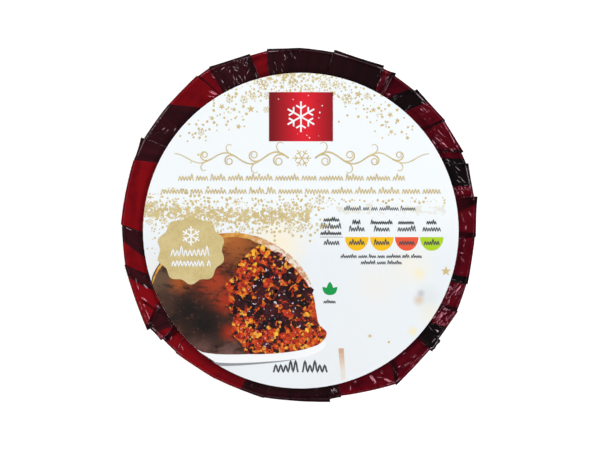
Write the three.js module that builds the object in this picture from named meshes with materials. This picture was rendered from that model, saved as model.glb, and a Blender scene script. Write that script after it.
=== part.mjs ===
// A Christmas pudding as it is sold: a round pudding basin wrapped in pleated film, under a round label.
// Millimetres, +Z up. The origin is the middle of the flat base, and the label's top edge is towards +Y.

import * as THREE from "three";

// Driving dimensions of the wrapped basin
const RIM_REACH = 65.1; // mean reach of the wrapped rim from the axis
const TOP_HEIGHT = 65; // flat ring of film round the top
const RIM_BEND = 1.3; // tight bend of the film over the basin's lip
const LIP_DEPTH = 5.5; // upright side of the lip
const LIP_SLACK = 1.6; // how far the film turns in and down under the lip
const BASE_REACH = 42; // reach of the base, over its rounded edge
const BASE_BEND = 5; // bend of that edge
const WALL_HOLLOW = 0.9; // how far the drawn film hollows between lip and base
const HOLLOW_AT = 0.6; // where on the wall it hollows most, from base to lip

// How the pleats run
const PLEAT_FOOT = 7; // height on the wall where the pleats begin
const PLEAT_END = 44; // reach at which they have run out, under the label
const LIP_GAP = 0.35; // degrees that the step down from a pleat's edge takes
const COLUMN_WIDTH = 4.5; // widest strip of film between two modelled columns, in degrees
const FLATTEST = 0.4; // most that a panel between pleats lies inside the rim's circle
const WALL_SWAY = 0.35; // how much of its lean a pleat shows on the wall

// The label
const LABEL_RADIUS = 57.5;
const LABEL_THICKNESS = 0.4;
const LABEL_OFFSET = new THREE.Vector2(0.4, -2.05); // it is stuck on a little off centre
const LABEL_GAP = 0.3;
const LABEL_SIDES = 120;

// The pleats, counter-clockwise from +X. Each has its place on the rim and its lean from there to the
// label, both in degrees; out, the reach of its fold beyond the mean; and step, the height of its edge,
// which is positive where the film after it lies on top and negative where the film before it does.
const PLEATS = [
  { at: 9.3, lean: 0.8, out: -0.5, step: -1.2 },
  { at: 20.3, lean: 3, out: -0.3, step: -0.8 },
  { at: 24.2, lean: 4, out: -0.35, step: 0.85 },
  { at: 35.8, lean: 1.5, out: 0.1, step: 0.35 },
  { at: 49.4, lean: 4.5, out: -0.5, step: -1 },
  { at: 57.7, lean: -0.8, out: -0.4, step: 1.1 },
  { at: 62.2, lean: -1.3, out: -0.2, step: 1 },
  { at: 78.9, lean: 1.2, out: -0.75, step: -1 },
  { at: 90, lean: 1, out: -0.4, step: 0.15 },
  { at: 100.7, lean: 1, out: -0.3, step: -0.65 },
  { at: 106.4, lean: -1, out: -0.6, step: 0.7 },
  { at: 120, lean: 0, out: 1.1, step: -0.4 },
  { at: 124.7, lean: -2.8, out: 0.8, step: 0.4 },
  { at: 138.5, lean: 1, out: 0, step: -0.3 },
  { at: 151.2, lean: -1.5, out: 0, step: 1.1 },
  { at: 159, lean: -2.4, out: 0, step: 0.1 },
  { at: 180, lean: 2.8, out: -0.1, step: -0.35 },
  { at: 193, lean: 5.5, out: 0.3, step: 0.3 },
  { at: 214.8, lean: -4.5, out: 1.4, step: -1.2 },
  { at: 219.9, lean: -1, out: 0, step: -0.9 },
  { at: 226, lean: -1.5, out: -0.3, step: 0.3 },
  { at: 241, lean: 0, out: -1, step: -0.15 },
  { at: 258.4, lean: 1.6, out: -0.75, step: -0.25 },
  { at: 279.9, lean: 1, out: -0.5, step: -1 },
  { at: 283.7, lean: 0, out: -0.85, step: -0.45 },
  { at: 301.2, lean: 2, out: 2.7, step: 0.5 },
  { at: 316.4, lean: 0, out: 0.8, step: 1.1 },
  { at: 320.8, lean: 1.2, out: 0.6, step: -0.9 },
  { at: 331.5, lean: -3, out: 0.4, step: -0.35 },
  { at: 340.7, lean: -1, out: -0.45, step: 0.4 },
  { at: 356.3, lean: -1, out: -0.95, step: 0.4 },
];

const film = new THREE.MeshStandardMaterial({ color: 0x8c1019, roughness: 0.25, metalness: 0 });
const paper = new THREE.MeshStandardMaterial({ color: 0xf0f4f8, roughness: 0.55, metalness: 0 });

const { lerp, smoothstep, degToRad, radToDeg, clamp } = THREE.MathUtils;
const point = (reach, height) => new THREE.Vector2(reach, height);

// How much of a pleat is left on the flat top, at some reach from the axis.
const left = (reach) => clamp((reach - PLEAT_END) / (RIM_REACH - RIM_BEND - PLEAT_END), 0, 1);

// The reach of the label's edge from the axis, at an angle in degrees.
function labelEdge(angle) {
  const way = new THREE.Vector2(1, 0).rotateAround(new THREE.Vector2(), degToRad(angle));
  return LABEL_OFFSET.dot(way) + Math.sqrt(LABEL_RADIUS ** 2 - LABEL_OFFSET.cross(way) ** 2);
}

// An arc of the outline, from one angle to another, in degrees.
function bend(reach, height, radius, from, to) {
  return new THREE.EllipseCurve(reach, height, radius, radius, degToRad(from), degToRad(to), to < from);
}

// The wrapped basin's outline, from the middle of its base to the middle of its top, in stretches.
function outline() {
  const baseEdge = BASE_REACH - BASE_BEND;
  const lipFoot = point(RIM_REACH - LIP_SLACK, TOP_HEIGHT - LIP_DEPTH - LIP_SLACK);
  const slope = radToDeg(Math.atan2(lipFoot.y, lipFoot.x - BASE_REACH));
  const baseCorner = bend(baseEdge, BASE_BEND, BASE_BEND, -90, slope - 90);
  const wallFoot = baseCorner.getPoint(1);
  const hollow = wallFoot.clone().lerp(lipFoot, HOLLOW_AT);
  hollow.x -= WALL_HOLLOW * 2; // a curve comes half the way to its middle point
  const lipSide = point(RIM_REACH, TOP_HEIGHT - LIP_DEPTH);
  const rimTop = TOP_HEIGHT - RIM_BEND;
  const stretches = [
    [new THREE.LineCurve(point(0, 0), point(baseEdge, 0)), 2],
    [baseCorner, 3],
    [new THREE.QuadraticBezierCurve(wallFoot, hollow, lipFoot), 8],
    [new THREE.QuadraticBezierCurve(lipFoot, point(lipSide.x, lipFoot.y), lipSide), 2],
    [new THREE.LineCurve(lipSide, point(RIM_REACH, rimTop)), 2],
    [bend(RIM_REACH - RIM_BEND, rimTop, RIM_BEND, 0, 90), 3],
    [new THREE.LineCurve(point(RIM_REACH - RIM_BEND, TOP_HEIGHT), point(PLEAT_END, TOP_HEIGHT)), 5],
    [new THREE.LineCurve(point(PLEAT_END, TOP_HEIGHT), point(0, TOP_HEIGHT)), 2],
  ];
  return stretches.flatMap(([curve, steps], i) => curve.getPoints(steps).slice(i ? 1 : 0));
}

// The outline's stations, each with its direction outwards, whether it is on the pack's top, how strongly
// pleats show there and how far the swelling of the rim reaches it.
function stations() {
  const points = outline();
  return points.map((here, i) => {
    const before = points[Math.max(i - 1, 0)];
    const after = points[Math.min(i + 1, points.length - 1)];
    const out = point(after.y - before.y, before.x - after.x).normalize();
    const onTop = here.y > TOP_HEIGHT - RIM_BEND;
    const up = smoothstep(here.y, PLEAT_FOOT, TOP_HEIGHT - LIP_DEPTH);
    const pleating = onTop ? left(here.x) : up;
    return { reach: here.x, height: here.y, out, onTop, pleating, swelling: onTop ? pleating : up * up };
  });
}

// The columns of film round the pack. Film falls away from the edge on top to the one tucked under.
function columns() {
  const made = [];
  PLEATS.forEach((pleat, i) => {
    const next = i + 1 < PLEATS.length ? PLEATS[i + 1] : { ...PLEATS[0], at: PLEATS[0].at + 360 };
    const width = next.at - pleat.at - LIP_GAP;
    const flatness = Math.min(FLATTEST, (RIM_REACH * (1 - Math.cos(degToRad(width) / 2))) / 2);
    const strips = Math.max(2, Math.ceil(width / COLUMN_WIDTH));
    for (let strip = 0; strip <= strips; strip++) {
      const across = strip / strips;
      made.push({
        at: pleat.at + width * across,
        lean: lerp(pleat.lean, next.lean, across),
        swell: lerp(pleat.out, next.out, across) - 4 * flatness * across * (1 - across),
        lift: Math.max(pleat.step, 0) * (1 - across) ** 2 + Math.max(-next.step, 0) * across ** 2,
      });
    }
  });
  return made;
}

// Where the film lies at one station of one column.
function filmPoint(column, station) {
  const lift = column.lift * station.pleating;
  const reach = station.reach + column.swell * station.swelling + lift * station.out.x;
  const travelled = clamp((RIM_REACH - station.reach) / (RIM_REACH - labelEdge(column.at)), 0, 1);
  const leaning = station.onTop ? travelled : WALL_SWAY * (station.pleating - 1);
  const angle = degToRad(column.at + column.lean * leaning);
  const height = station.height + lift * Math.max(station.out.y, 0);
  return [reach * Math.cos(angle), reach * Math.sin(angle), height];
}

// The wrapped pudding: the turned outline, with each of its columns laid along the pleats.
function wrap() {
  const rings = stations();
  const round = columns();
  const turned = rings.map(({ reach, height }) => point(reach, height));
  const shell = new THREE.LatheGeometry(turned, round.length);
  const place = shell.getAttribute("position");
  for (let i = 0; i < place.count; i++) {
    const column = round[Math.floor(i / rings.length) % round.length];
    place.setXYZ(i, ...filmPoint(column, rings[i % rings.length]));
  }
  shell.computeVertexNormals();
  const mesh = new THREE.Mesh(shell, film);
  mesh.name = "wrap";
  return mesh;
}

// The label lies over the highest pleat under it.
function label() {
  const disc = new THREE.CylinderGeometry(LABEL_RADIUS, LABEL_RADIUS, LABEL_THICKNESS, LABEL_SIDES);
  const mesh = new THREE.Mesh(disc.rotateX(Math.PI / 2), paper);
  mesh.name = "label";
  const steepest = Math.max(...PLEATS.map(({ step }) => Math.abs(step)));
  const highest = TOP_HEIGHT + steepest * left(LABEL_RADIUS + LABEL_OFFSET.length());
  mesh.position.set(LABEL_OFFSET.x, LABEL_OFFSET.y, highest + LABEL_GAP + LABEL_THICKNESS / 2);
  return mesh;
}

const pudding = new THREE.Group();
pudding.add(wrap(), label());

export default pudding;
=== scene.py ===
"""Dresses a Christmas pudding as it is sold: its basin shut in striped film that is pleated over the rim, under
a round printed label. Lengths are in millimetres and angles in degrees until a piece is finished, in metres."""

import math
import random
from collections import namedtuple
from functools import reduce

import bmesh
import bpy
from mathutils import Matrix, Vector, noise


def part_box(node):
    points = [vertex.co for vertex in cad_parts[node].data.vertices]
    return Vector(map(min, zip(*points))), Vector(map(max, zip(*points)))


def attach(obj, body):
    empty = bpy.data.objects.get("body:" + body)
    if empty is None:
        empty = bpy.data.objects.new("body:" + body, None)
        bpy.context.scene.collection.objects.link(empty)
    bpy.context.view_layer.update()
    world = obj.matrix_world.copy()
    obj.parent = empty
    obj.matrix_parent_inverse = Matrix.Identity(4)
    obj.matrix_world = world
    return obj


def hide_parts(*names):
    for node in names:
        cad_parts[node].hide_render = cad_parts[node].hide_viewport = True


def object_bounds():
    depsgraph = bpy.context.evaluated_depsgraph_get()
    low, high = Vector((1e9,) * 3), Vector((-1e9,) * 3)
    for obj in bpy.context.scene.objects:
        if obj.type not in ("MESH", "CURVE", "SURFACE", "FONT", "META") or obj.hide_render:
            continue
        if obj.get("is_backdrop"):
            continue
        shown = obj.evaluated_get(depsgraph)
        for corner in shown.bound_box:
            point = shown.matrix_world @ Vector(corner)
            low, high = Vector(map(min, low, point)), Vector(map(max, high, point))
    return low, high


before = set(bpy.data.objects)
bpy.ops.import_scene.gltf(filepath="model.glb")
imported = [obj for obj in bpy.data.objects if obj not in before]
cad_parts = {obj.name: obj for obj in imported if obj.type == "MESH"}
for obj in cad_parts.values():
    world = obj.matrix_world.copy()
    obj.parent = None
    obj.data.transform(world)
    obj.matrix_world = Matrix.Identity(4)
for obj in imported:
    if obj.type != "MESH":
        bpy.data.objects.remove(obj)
cad_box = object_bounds()

MM = 0.001


# ---- Sizes ----

# The wrapped basin, as its solid has it
RIM_REACH, RIM_BEND, TOP_HEIGHT = 65.1, 1.3, 65
LIP_DEPTH, LIP_SLACK = 5.5, 1.6
BASE_REACH, BASE_BEND = 42, 5
WALL_HOLLOW, HOLLOW_AT = 0.9, 0.6
PLEAT_FOOT, PLEAT_END = 7, 44
FLATTEST, WALL_SWAY = 0.4, 0.35
LIP_FOOT, RIM_TOP = TOP_HEIGHT - LIP_DEPTH, TOP_HEIGHT - RIM_BEND  # the lip's upright side
DEGREE = math.radians(1) * RIM_REACH  # how long a degree is round the rim

# The label, from its solid
label_low, label_high = (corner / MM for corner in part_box("label"))
LABEL_CENTRE = (label_low + label_high) / 2
LABEL_RADIUS = (label_high.x - label_low.x) / 2
RING_WIDTH = RIM_REACH - LABEL_RADIUS

# The film's mesh
PANEL_COLUMNS, PANEL_LEAST = 920, 4  # columns all round, more where it is creased, and the least in a panel
FINE_RINGS_END = 53  # reach of the innermost of its close rings, under the label
SHARP_ANGLE = 50
STRIPE_TURN = -7.5  # how far the film's stripes are turned from the label's level
FILM_UNDER_LABEL = label_low.z - 0.06
LABEL_LAP = 0.3  # how far outside the label's edge the film begins to be pressed down

# A fold of the film. It has its place on the rim and its lean from there to the label, both in degrees; out,
# the reach of its edge beyond the mean; and step, the height of the edge, positive where the film after it lies
# on top. Shift turns the stripes of the panel that follows, and twist turns them further towards the label;
# shade is how far the darker tucked film and the painted shade at the fold show, back or on; depth is how
# thick that panel's film looks, and crinkle how creased it is.
Fold = namedtuple("Fold", "at lean out step shift twist shade depth crinkle")
FOLDS = [Fold(*row) for row in (
    (9.3, 0.8, -0.5, -1.2, -3.4, 0, -3.7, 0.6, 0.3), (20.3, 3, -0.3, -0.8, 3.9, 0, 0, 0.7, 0.25),
    (24.2, 4, -0.35, 0.85, 0, 0, 1.2, 0.6, 0.25), (35.8, 1.5, 0.1, 0.35, 0, 0, 0.8, 0.7, 0.15),
    (49.4, 4.5, -0.5, -1, 0, 3, 0.6, 0.8, 0.2), (57.7, -0.8, -0.4, 1.1, -2, 0, 2.4, 0.5, 0.4),
    (62.2, -1.3, -0.2, 1, 0, 0, 0, 0.7, 0.1), (78.9, 1.2, -0.75, -1, 0, 0, 0, 0.6, 0.2),
    (90, 1, -0.4, 0.08, 0, 0, 0, 0.6, 0.4), (100.7, 1, -0.3, -0.65, 4.2, 0, 0, 0.3, 0.1),
    (106.4, -1, -0.6, 0.7, 4.4, 0, 0, 0.5, 0.6), (120, 0, 1.1, -0.4, 0.8, 0, 0, 0.4, 0.5),
    (124.7, -2.8, 0.8, 0.4, 4.2, -6.3, -0.5, 0.25, 0.15), (138.5, 1, 0, 0, 0, 0, 0, 0.4, 0.5),
    (151.2, -1.5, 0, 1.1, -2.3, 0, 0, 0.4, 0.35), (159, -2.4, 0, 0.1, 0, 0, 0, 0.15, 0.05),
    (180, 2.8, -0.1, -0.35, -0.9, 2.8, 0, 0.2, 0.2), (193, 5.5, 0.3, 0.3, 4.7, 7, 0, 0.1, 0.3),
    (214.8, -4.5, 1.4, -1.2, -13.1, 3, -1.8, 0.3, 0.35), (219.9, -1, 0, -0.9, 0, 0, 2.1, 0.25, 0.3),
    (226, -1.5, -0.3, 0.3, 0, 0, 0, 0.15, 0.2), (241, 0, -1, -0.08, -6.5, 0, 0, 0.25, 0.05),
    (258.4, 1.6, -0.75, -0.25, 0, 0, 0, 0.4, 0.2), (279.9, 1, -0.5, -1, -1, 0, 0, 0.6, 0.3),
    (283.7, 0, -0.85, -0.45, 0, 0, 0, 0.62, 0.08), (301.2, 2, 2.7, 0.5, 0, 0, 1.6, 0.68, 0.12),
    (316.4, 0, 0.8, 1.1, 3.8, 0, 0, 0.7, 0.25), (320.8, 1.2, 0.6, -0.9, 3.7, -1.9, 0, 0.65, 0.3),
    (331.5, -3, 0.4, -0.35, 0, 0, 1.5, 0.6, 0.2), (340.7, -1, -0.45, 0.4, 0, 0, 0, 0.7, 0.3),
    (356.3, -1, -0.95, 0.4, 0, 0, 1.7, 0.55, 0.3),
)]

# The rolled edge of a fold, from the film on top to the film below: sideways from the edge, and share of height
EDGE_ROLL = [(0.05, 0.97), (0.06, 0.5), (0.0, 0.03)]
EDGE_GAP = 0.3
FLAT_FOLD = 0.2  # a fold no higher than this is hardly seen

# A crease of the film on the flat ring: its two ends, each by its angle and by how far it is from the rim to
# the label's edge; and how wide each of its flanks is. The flanks all slope alike, a crease fades over each of
# its ends, and a flank is no wider than a share of the crease's length.
Crease = namedtuple("Crease", "start start_in end end_in width")
CREASE_SLOPE, CREASE_END, CREASE_STOUTEST = 0.46, 0.35, 0.45
CREASES = [Crease(*row) for row in (
    (317, 0.05, 320.4, 0.09, 1.49), (329.2, 0.2, 327, 0.28, 1.43), (337.6, 0.82, 333.4, 0.95, 2.08),
)]

# The creases that are too fine for the film's mesh, written as a crease is; over how much of each end they
# taper; how near a point of the mesh must be to carry one, and how much nearer for it to show; and how many
# sets they are dealt into, so that no two of a set lie close together
STROKE_TAPER, STROKE_NEAR, STROKE_SEEN = 1.0, 2.0, 1.3
STROKE_SETS = 6
STROKES = [Crease(*row) for row in (
    (0.8, 0.2, 4.8, 0.45, 0.3), (1, 0.7, 4.4, 0.85, 0.3), (12.4, 0.67, 10.5, 0.54, 0.35),
    (12.9, 0.37, 10.7, 0.17, 0.35), (13.9, 0.99, 11.2, 0.76, 0.4), (15.9, 0.42, 14, 0.35, 0.09),
    (16.4, 0.72, 14.4, 0.55, 0.1), (16.9, 0.52, 14.5, 0.4, 0.12), (17.8, 0.65, 16, 0.48, 0.1),
    (19.5, 0.64, 17.9, 0.54, 0.08), (20.9, 0.57, 18.5, 0.41, 0.14), (23, 0.56, 20.8, 0.47, 0.12),
    (23.4, 0.77, 21.2, 0.78, 0.12), (24.4, 0.82, 22.5, 0.65, 0.15), (27.4, 0.47, 25.4, 0.35, 0.35),
    (30.9, 0.68, 27.7, 0.53, 0.5), (33.9, 0.68, 32.3, 0.54, 0.42), (35.2, 0.27, 34.4, 0.26, 0.37),
    (41.8, 0.42, 41.4, 0.24, 0.37), (52.8, 0.94, 52.7, 0.8, 0.35), (53.8, 0.88, 53.2, 0.66, 0.35),
    (56.6, 0.92, 55.2, 0.76, 0.4), (60.2, 0.2, 59.6, 0.68, 0.53), (60.4, 0.03, 58, 0.1, 0.45),
    (61.4, 0.35, 60.8, 0.6, 0.4), (92.1, 0.34, 91.3, 0.5, 0.24), (93, 0.18, 92.5, 0.4, 0.24),
    (94.2, 0.38, 95.7, 0.55, 0.26), (95.3, 0.24, 94.8, 0.46, 0.26), (96.4, 0.56, 95.9, 0.72, 0.26),
    (96.9, 0.78, 96.2, 0.94, 0.24), (98.9, 0.48, 98.3, 0.66, 0.24), (99.9, 0.82, 99.2, 0.98, 0.24),
    (105.7, 0.5, 105.5, 0.7, 0.24), (106.2, 0.74, 106.3, 0.98, 0.24), (110.2, 0.68, 110.7, 0.92, 0.22),
    (111.9, 0.22, 111.2, 0.42, 0.25), (111.6, 0.76, 111.8, 0.98, 0.22), (112.3, 0.6, 111.7, 0.8, 0.22),
    (113, 0.22, 112, 0.36, 0.26), (113, 0.36, 111.5, 0.5, 0.2), (113.2, 0.64, 113.7, 0.92, 0.22),
    (114, 0.32, 115.2, 0.4, 0.24), (114, 0.52, 114.1, 0.78, 0.22), (114.8, -0.13, 113.6, 0.07, 0.25),
    (114.8, 0.74, 115, 0.98, 0.22), (118.5, 0.48, 118.1, 0.68, 0.22), (120.6, 0.1, 119.8, 0.38, 0.35),
    (124.2, 0.62, 122, 0.98, 0.45), (125.5, 0.74, 123.5, 0.98, 0.3), (143.5, 0.88, 141.7, 0.84, 0.3),
    (145.6, 0.46, 144, 0.5, 0.25), (146.3, 0.6, 143.9, 0.66, 0.35), (180.5, 0.14, 181.9, 0.52, 0.16),
    (197.8, 0.29, 202.3, 0.25, 0.2), (200.6, 0.56, 203, 0.71, 0.3), (204.4, 0.2, 206.7, 0.43, 0.4),
    (206.5, 0.18, 212.4, 0.06, 0.3), (208.9, 0.71, 210.9, 0.87, 0.4), (211.5, -0.09, 215.6, 0.05, 0.35),
    (215.3, 0.9, 218.8, 0.87, 0.3), (217, -0.12, 220, 0.05, 0.5), (220.9, 0.5, 221.9, 0.26, 0.29),
    (224, 0.98, 225, 0.62, 0.29), (224.8, 0.6, 225.7, 0.2, 0.31), (225.2, 0.55, 227.3, 0.42, 0.27),
    (225.6, 0.1, 228.6, 0.14, 0.31), (271, 0.2, 275, 0.35, 0.23), (280.6, 0.8, 281.4, 0.3, 0.4),
    (281.3, 0.86, 282.7, 0.44, 0.5), (282.9, 0.8, 283.7, 0.6, 0.4), (287.7, 0.75, 286.9, 0.28, 0.2),
    (289.4, 0.98, 289.8, 0.62, 0.6), (295.1, 0.92, 295.7, 0.12, 0.5), (296.8, 0.52, 298.6, 0.28, 0.2),
    (298.7, 0.26, 300.8, -0.4, 0.4), (299.1, 0.84, 299.2, 0.52, 0.55), (305.8, 0.18, 309, 0.15, 0.55),
    (308, 0, 309.6, 0.04, 0.3), (310.1, 0.31, 312, 0.22, 0.5), (310.8, -0.22, 313.6, -0.06, 0.45),
    (322.3, 0.45, 322.5, 0.1, 0.37), (324, 0.65, 326.7, 0.56, 0.4), (325.4, 0.12, 322.7, 0.13, 0.37),
    (325.7, 0.72, 322.9, 0.78, 0.37), (326.4, 0.65, 328.7, 0.64, 0.6), (327.5, 0.24, 329.5, 0.19, 0.65),
    (328.6, 0.73, 326.8, 0.58, 0.35), (329.6, 0.5, 325.2, 0.7, 0.44), (331.6, 0.65, 334, 0.6, 0.45),
    (339.1, 0.66, 333.4, 0.8, 0.65), (339.6, 0.5, 340.4, 0.15, 0.3), (340.2, 0.33, 335.4, 0.59, 0.5),
    (340.7, 0, 334.7, 0.35, 0.6), (348.9, 0.77, 347.2, 0.54, 0.42), (350.4, 0.91, 350.2, 0.62, 0.35),
    (352.3, 0.69, 355.4, 0.65, 0.4), (352.7, 0.27, 350.2, 0.26, 0.32), (358.3, 0.64, 359.9, 0.6, 0.4),
)]

# Where the film is drawn into fine creases side by side: from one angle to another, which way they run, how far
# apart they lie and how deep they are; and over how much of each end they fade
Drawn = namedtuple("Drawn", "start end way pitch depth")
DRAWN_TAPER = 1.2
DRAWN = [Drawn(*row) for row in (
    (9.6, 13.6, 305, 1, 0.7), (13.6, 24, 322, 1.2, 0.15), (25, 35.6, 318, 1.4, 0.8),
    (39, 47.5, 322, 1.2, 0.6), (57.9, 62.4, 243, 1, 0.8), (90.5, 98.5, 97, 1.5, 0.35),
    (106.6, 118.6, 71, 1.1, 0.5), (140, 149.5, 30, 1.3, 0.35), (198, 210, 119, 1.6, 0.4),
    (253, 276, 105, 1.6, 0.3), (280.3, 300.5, 108, 1.7, 0.35), (303, 316.4, 38, 2, 0.9),
    (316.8, 324, 220, 1.4, 0.35), (324, 331.4, 226, 1.2, 0.95), (331.8, 340.6, 228, 1.1, 1.05),
    (343.5, 355.8, 268, 1.6, 0.6),
)]

# Painted shade and doubled film: where a fold shows as a thin dark line on the flat ring, written as a crease
# is
FOLD_SHADE_LINES = [Crease(205.2, 0.24, 212.8, 0.95, 0.6)]

# Where the film's bend over the rim shines: from one angle to another, and how much. It is dull elsewhere
RIM_SHINE = [
    (8, 10.2, 0.8), (12, 19, 0.8), (26, 36, 0.85), (41, 48, 0.6), (60, 64, 0.5), (74, 79, 0.7),
    (97, 102, 0.7), (107, 112, 0.5), (120, 124, 0.6), (138, 157, 0.7), (160, 180, 0.25), (205, 214, 0.8),
    (215.5, 220.5, 1), (224, 228, 0.5), (298, 303, 0.8), (308, 316, 0.6), (316, 321.5, 1), (325, 331, 0.5),
    (333, 341, 0.4),
]
RIM_DULL, EDGE_SHINE = 0.12, 0.2
BEND_START, BEND_END = 0.1, 0.5  # how far above the upright side it begins, and how far in on the top it ends

# The stripes of the flat film: each dark one's two edges, across the stripes from the middle of the base
DARK_STRIPES = [(-130, -103), (-57, -43), (-23, -14), (33, 60), (84.5, 93.5), (100, 130)]


# ---- Small helpers ----

def mix(a, b, share):
    return a + (b - a) * share


def limit(value):
    return min(max(value, 0), 1)


def ease(value, low, high):
    share = limit((value - low) / (high - low))
    return share * share * (3 - 2 * share)


def toward(turn):
    return Vector((math.cos(turn), math.sin(turn)))


def round_rim(angle):
    """How far along the rim an angle is."""
    return math.radians(angle) * RIM_REACH


def cloud(*place):
    """Smooth noise at a place, from about -1 to 1."""
    return noise.noise(Vector(place))


def chance(*place):
    """A random number from 0 to 1 that is one and the same throughout a cell of space."""
    return noise.cell(Vector(place))


def rgb(*tones):
    """A colour given as a screen shows it, in the linear values that a shader takes."""
    shares = (tone / 255 for tone in tones)
    return (*(share / 12.92 if share < 0.04 else ((share + 0.055) / 1.055) ** 2.4 for share in shares), 1)


def add_object(name, data):
    made = bpy.data.objects.new(name, data)
    bpy.context.scene.collection.objects.link(made)
    return made


def mesh_object(name, bm, material):
    mesh = bpy.data.meshes.new(name)
    bm.to_mesh(mesh)
    bm.free()
    mesh.materials.append(material)
    return add_object(name, mesh)


def finish_piece(name, bm, material, slot, *replaced):
    """Makes a piece of a bmesh in millimetres."""
    bmesh.ops.scale(bm, vec=(MM, MM, MM), verts=bm.verts)
    piece = mesh_object(name, bm, material)
    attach(piece, "root")
    if replaced:
        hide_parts(*replaced)
    return piece


# ---- Material helpers ----

class Wiring:
    """A tree of shader nodes being wired up, with short ways to add the nodes that are used most."""

    def __init__(self, tree):
        self.nodes, self.links = tree.nodes, tree.links

    def add(self, kind, inputs=None, **settings):
        node = self.nodes.new(kind)
        for key, value in settings.items():
            setattr(node, key, value)
        for key, value in (inputs or {}).items():
            if isinstance(value, bpy.types.NodeSocket):
                self.links.new(value, node.inputs[key])
            else:
                node.inputs[key].default_value = value
        return node

    def math(self, operation, a, b=0.0, clamp=False):
        return self.add("ShaderNodeMath", {0: a, 1: b}, operation=operation, use_clamp=clamp).outputs[0]

    def times(self, *factors):
        return reduce(lambda a, b: self.math("MULTIPLY", a, b), factors)

    def away(self, value, middle):
        """How far a value is from another."""
        return self.math("ABSOLUTE", self.math("SUBTRACT", value, middle))

    def vector_math(self, operation, *inputs):
        return self.add("ShaderNodeVectorMath", dict(enumerate(inputs)), operation=operation).outputs

    def parts(self, vector):
        return self.add("ShaderNodeSeparateXYZ", {0: vector}).outputs

    def mix(self, share, a, b):
        return self.add("ShaderNodeMix", {0: share, 6: a, 7: b}, data_type="RGBA").outputs[2]

    def span(self, value, low, high, to_low=0.0, to_high=1.0):
        inputs = {"Value": value, "From Min": low, "From Max": high, "To Min": to_low, "To Max": to_high}
        return self.add("ShaderNodeMapRange", inputs).outputs[0]

    def noise(self, where, scale, detail, roughness=0.55, **more):
        """Noise, so many cells to a metre of the place."""
        inputs = {"Vector": where, "Scale": scale, "Detail": detail, "Roughness": roughness, **more}
        return self.add("ShaderNodeTexNoise", inputs).outputs["Fac"]

    def bump(self, height, strength, distance, after=None):
        inputs = {"Height": height, "Strength": strength, "Distance": distance}
        if after:
            inputs["Normal"] = after
        return self.add("ShaderNodeBump", inputs).outputs["Normal"]


class Shader(Wiring):
    """A material being wired up."""

    def __init__(self, name, **fixed):
        self.material = bpy.data.materials.new(name)
        self.material.use_nodes = True
        super().__init__(self.material.node_tree)
        self.surface = self.nodes["Principled BSDF"]
        for socket, value in fixed.items():
            self.surface.inputs[socket.replace("_", " ").title().replace("Ior", "IOR")].default_value = value

    def place(self):
        return self.add("ShaderNodeTexCoord").outputs["Object"]

    def attribute(self, name):
        return self.add("ShaderNodeAttribute", attribute_name=name).outputs["Vector"]

    def effect(self, group, *inputs):
        return self.add("ShaderNodeGroup", dict(enumerate(inputs)), node_tree=group).outputs[0]

    def feed(self, socket, value):
        self.links.new(value, self.surface.inputs[socket])

    def coloured(self, value):
        self.feed("Base Color", value)
        return self.material


def new_effect(name, result, build, **inputs):
    """A node group for several materials: its inputs by name and kind, what it gives, and what wires it up."""
    group = bpy.data.node_groups.new(name, "ShaderNodeTree")
    for socket, kind in inputs.items():
        group.interface.new_socket(socket.capitalize(), in_out="INPUT", socket_type=f"NodeSocket{kind}")
    group.interface.new_socket(result[0], in_out="OUTPUT", socket_type=f"NodeSocket{result[1]}")
    wiring = Wiring(group)
    given = wiring.add("NodeGroupInput").outputs
    made = build(wiring, *[given[i] for i in range(len(inputs))])
    wiring.links.new(made, wiring.add("NodeGroupOutput").inputs[0])
    return group


def wire_two_tones(wiring, place, scale, detail, low, high, one, other):
    """Two tones that run into each other."""
    return wiring.mix(wiring.span(wiring.noise(place, scale, detail), low, high), one, other)


def wire_gold(wiring, place):
    """Pale gold, a little brighter and darker from speck to speck."""
    broad = wiring.span(wiring.noise(place, 120, 3), 0.35, 0.65)
    fine = wiring.span(wiring.noise(place, 1400, 2), 0.3, 0.7)
    gold = wiring.mix(broad, rgb(200, 177, 116), rgb(214, 195, 138))
    return wiring.mix(wiring.times(fine, 0.35), gold, rgb(230, 216, 170))


def wire_soft_spot(wiring, place, centre, radius, amount):
    """A mask that fades from the middle of a spot to its rim."""
    away = wiring.vector_math("DISTANCE", place, centre)["Value"]
    return wiring.span(away, radius, wiring.times(radius, 0.15), 0, amount)


TWO_TONES = new_effect(
    "two_tones", ("Colour", "Color"), wire_two_tones,
    place="Vector", scale="Float", detail="Float", low="Float", high="Float", one="Color", other="Color",
)
GOLD = new_effect("gold", ("Colour", "Color"), wire_gold, place="Vector")
SOFT_SPOT = new_effect(
    "soft_spot", ("Mask", "Float"), wire_soft_spot,
    place="Vector", centre="Vector", radius="Float", amount="Float",
)


# ---- The film ----

def bend_points(reach, height, radius, start, end, steps):
    for step in range(steps + 1):
        angle = math.radians(mix(start, end, step / steps))
        yield reach + radius * math.cos(angle), height + radius * math.sin(angle)


def curve_points(first, pull, last, steps):
    for step in range(steps + 1):
        share = step / steps
        yield tuple(mix(mix(a, b, share), mix(b, c, share), share) for a, b, c in zip(first, pull, last))


def line_points(first, last, steps):
    return curve_points(first, tuple((a + b) / 2 for a, b in zip(first, last)), last, steps)


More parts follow.
